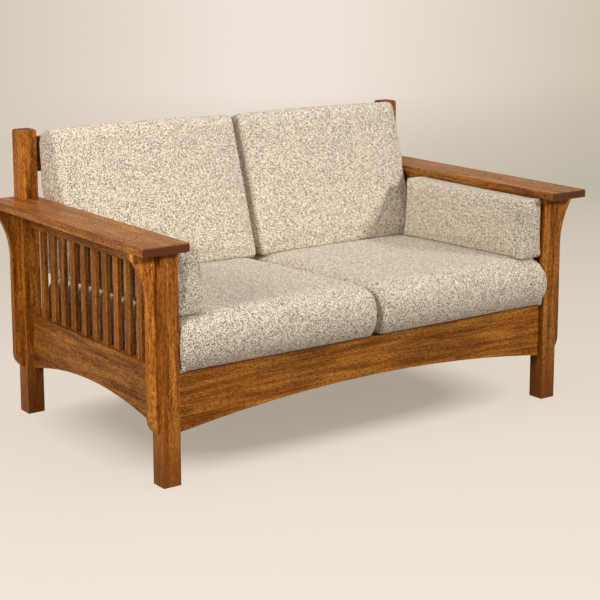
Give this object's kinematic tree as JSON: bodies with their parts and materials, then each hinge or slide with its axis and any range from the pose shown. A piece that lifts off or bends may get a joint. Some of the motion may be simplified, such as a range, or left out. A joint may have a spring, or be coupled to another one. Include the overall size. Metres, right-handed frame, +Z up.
{
  "type": "mission settle",
  "caption": "Two-seat mission settle: an oak post-and-rail frame with slatted ends and wide flat arms on corbels, and loose box cushions on the seat, the back and inside each arm.",
  "frame": {"origin": "on the floor, under the middle of the settle's width and of the arms' length", "axes": "+X along the seat towards the arm on the sitter's left, +Y from the front to the back, +Z up"},
  "size_m": [1.6554, 0.963, 0.9301],
  "materials": {
    "oak": "satin lacquer over stained quarter-sawn oak",
    "deck_wood": "bare sanded softwood",
    "tweed": "matte oatmeal tweed"
  },
  "bodies": {
    "frame": {"front_left_post": "oak", "rear_left_post": "oak", "left_arm": "oak", "front_left_corbel": "oak", "rear_left_corbel": "oak", "left_lower_rail": "oak", "left_upper_rail": "oak", "left_slat_1": "oak", "left_slat_2": "oak", "left_slat_3": "oak", "left_slat_4": "oak", "left_slat_5": "oak", "left_slat_6": "oak", "left_slat_7": "oak", "left_slat_8": "oak", "left_slat_9": "oak", "left_slat_10": "oak", "left_slat_11": "oak", "front_right_post": "oak", "rear_right_post": "oak", "right_arm": "oak", "front_right_corbel": "oak", "rear_right_corbel": "oak", "right_lower_rail": "oak", "right_upper_rail": "oak", "right_slat_1": "oak", "right_slat_2": "oak", "right_slat_3": "oak", "right_slat_4": "oak", "right_slat_5": "oak", "right_slat_6": "oak", "right_slat_7": "oak", "right_slat_8": "oak", "right_slat_9": "oak", "right_slat_10": "oak", "right_slat_11": "oak", "front_rail": "oak", "rear_seat_rail": "oak", "back_top_rail": "oak", "back_slat_1": "oak", "back_slat_2": "oak", "back_slat_3": "oak", "back_slat_4": "oak", "back_slat_5": "oak", "back_slat_6": "oak", "back_slat_7": "oak", "front_cleat": "deck_wood", "rear_cleat": "deck_wood", "deck_slat_1": "deck_wood", "deck_slat_2": "deck_wood", "deck_slat_3": "deck_wood", "deck_slat_4": "deck_wood", "deck_slat_5": "deck_wood", "corbel_tongues": "deck_wood"},
    "left_seat_cushion": {"left_seat_cushion": "tweed"},
    "left_back_cushion": {"left_back_cushion": "tweed"},
    "left_arm_cushion": {"left_arm_cushion": "tweed"},
    "right_seat_cushion": {"right_seat_cushion": "tweed"},
    "right_back_cushion": {"right_back_cushion": "tweed"},
    "right_arm_cushion": {"right_arm_cushion": "tweed"}
  },
  "joints": [
    {"name": "left_seat_cushion_lift_off", "type": "slide", "parent": "frame", "child": "left_seat_cushion", "axis": [0, -1, 0], "range_m": [0, 0.9]},
    {"name": "left_back_cushion_lift_off", "type": "slide", "parent": "frame", "child": "left_back_cushion", "axis": [0, 0, 1], "range_m": [0, 0.5]},
    {"name": "left_arm_cushion_lift_off", "type": "slide", "parent": "frame", "child": "left_arm_cushion", "axis": [0.9988, 0, 0.0499], "range_m": [0, 0.3]},
    {"name": "right_seat_cushion_lift_off", "type": "slide", "parent": "frame", "child": "right_seat_cushion", "axis": [0, -1, 0], "range_m": [0, 0.9]},
    {"name": "right_back_cushion_lift_off", "type": "slide", "parent": "frame", "child": "right_back_cushion", "axis": [0, 0, 1], "range_m": [0, 0.5]},
    {"name": "right_arm_cushion_lift_off", "type": "slide", "parent": "frame", "child": "right_arm_cushion", "axis": [-0.9988, 0, 0.0499], "range_m": [0, 0.3]}
  ]
}
